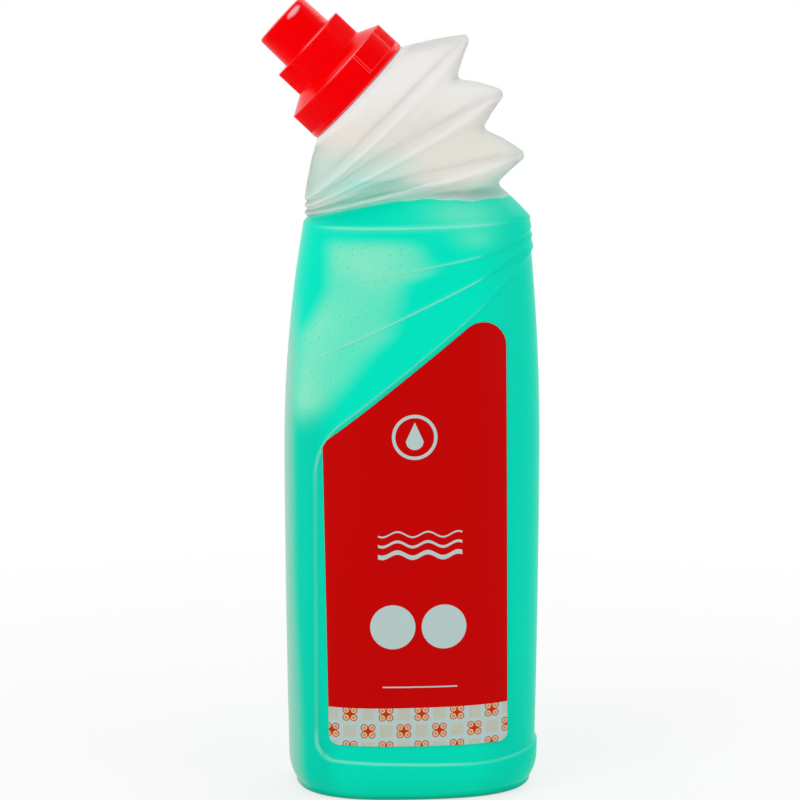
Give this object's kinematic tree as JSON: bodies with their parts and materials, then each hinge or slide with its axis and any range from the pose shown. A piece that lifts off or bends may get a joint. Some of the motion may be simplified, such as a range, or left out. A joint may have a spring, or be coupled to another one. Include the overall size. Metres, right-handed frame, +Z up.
{
  "type": "toilet gel bottle",
  "caption": "Oval plastic bottle of toilet gel with a bent pleated neck, a hidden spout insert, a squeeze-and-turn cap and a front label.",
  "frame": {"origin": "middle of the standing ring under the base", "axes": "+Z up, the label faces -Y, and the neck leans towards -X"},
  "size_m": [0.0934, 0.0592, 0.2679],
  "materials": {
    "translucent_wall": "satin translucent blow-moulded polyethylene",
    "gel": "clear turquoise gel",
    "nozzle_plastic": "natural moulded polyethylene",
    "cap_plastic": "glossy moulded polypropylene",
    "label_film": "printed matt film"
  },
  "bodies": {
    "bottle": {"bottle": "translucent_wall", "gel": "gel", "nozzle_insert": "nozzle_plastic", "front_label": "label_film"},
    "cap": {"cap": "cap_plastic"}
  },
  "joints": [
    {"name": "cap_lift", "type": "slide", "parent": "bottle", "child": "cap", "axis": [-0.7302, 0, 0.6833], "range_m": [0, 0.045]}
  ]
}
